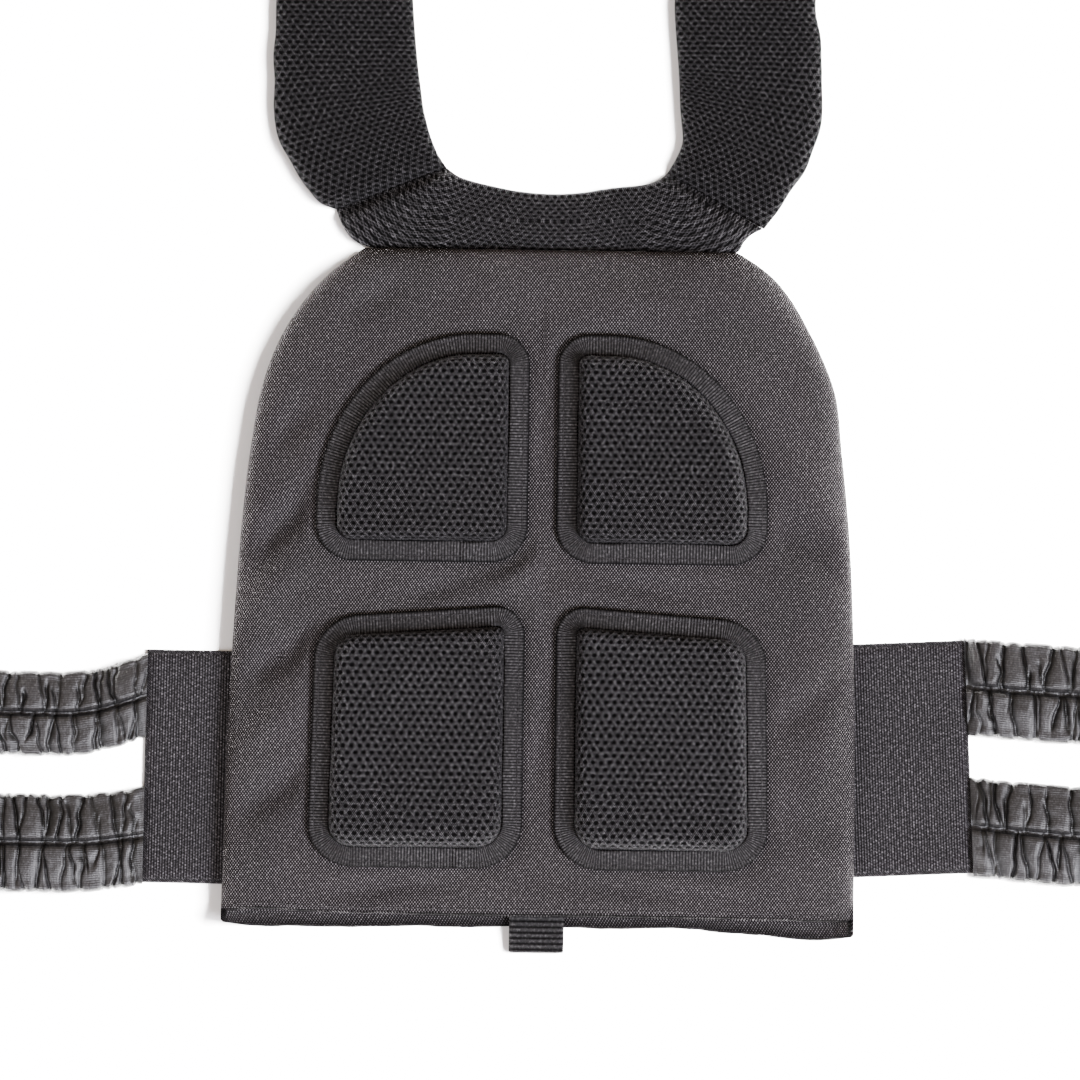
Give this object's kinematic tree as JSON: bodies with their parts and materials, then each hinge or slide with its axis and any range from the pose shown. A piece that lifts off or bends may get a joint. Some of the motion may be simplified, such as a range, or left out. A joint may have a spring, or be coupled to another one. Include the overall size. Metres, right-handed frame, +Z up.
{
  "type": "weighted vest",
  "caption": "Plate-carrier style vest laid open flat, with hollow front and back pockets, mesh body pads, a padded mesh collar and gathered elastic side bands with hook tabs.",
  "frame": {"origin": "middle of the footprint of the vest laid open flat, on the surface that it lies on", "axes": "+Y from the back panel's hem towards the neck and on to the front panel, +X to the right seen from above, +Z up, away from the surface"},
  "size_m": [0.8466, 0.9356, 0.0273],
  "materials": {
    "panel_cloth": "matt charcoal pack cloth with a fine diagonal weave",
    "spacer_mesh": "black open spacer mesh with staggered holes",
    "binding_tape": "black ribbed grosgrain tape",
    "webbing": "black ribbed webbing",
    "hook_tape": "black hook tape with fine rows of hooks",
    "gathered_band": "black nylon with a slight sheen, gathered over elastic"
  },
  "bodies": {
    "root": {"back_panel": "panel_cloth", "back_pull_tab": "webbing", "back_pad_upper_left": "spacer_mesh", "back_pad_upper_right": "spacer_mesh", "back_pad_lower_left": "spacer_mesh", "back_pad_lower_right": "spacer_mesh", "back_binding_upper_left": "binding_tape", "back_binding_upper_right": "binding_tape", "back_binding_lower_left": "binding_tape", "back_binding_lower_right": "binding_tape", "yoke": "spacer_mesh", "shoulder_pad_left": "spacer_mesh", "shoulder_pad_right": "spacer_mesh", "shoulder_strap_left": "webbing", "shoulder_strap_right": "webbing", "hook_tab_left": "hook_tape", "hook_tab_right": "hook_tape", "band_left_upper": "gathered_band", "band_left_lower": "gathered_band", "band_right_upper": "gathered_band", "band_right_lower": "gathered_band", "end_tab_left": "hook_tape", "end_tab_right": "hook_tape", "front_panel": "panel_cloth", "front_pull_tab": "webbing"}
  },
  "joints": []
}
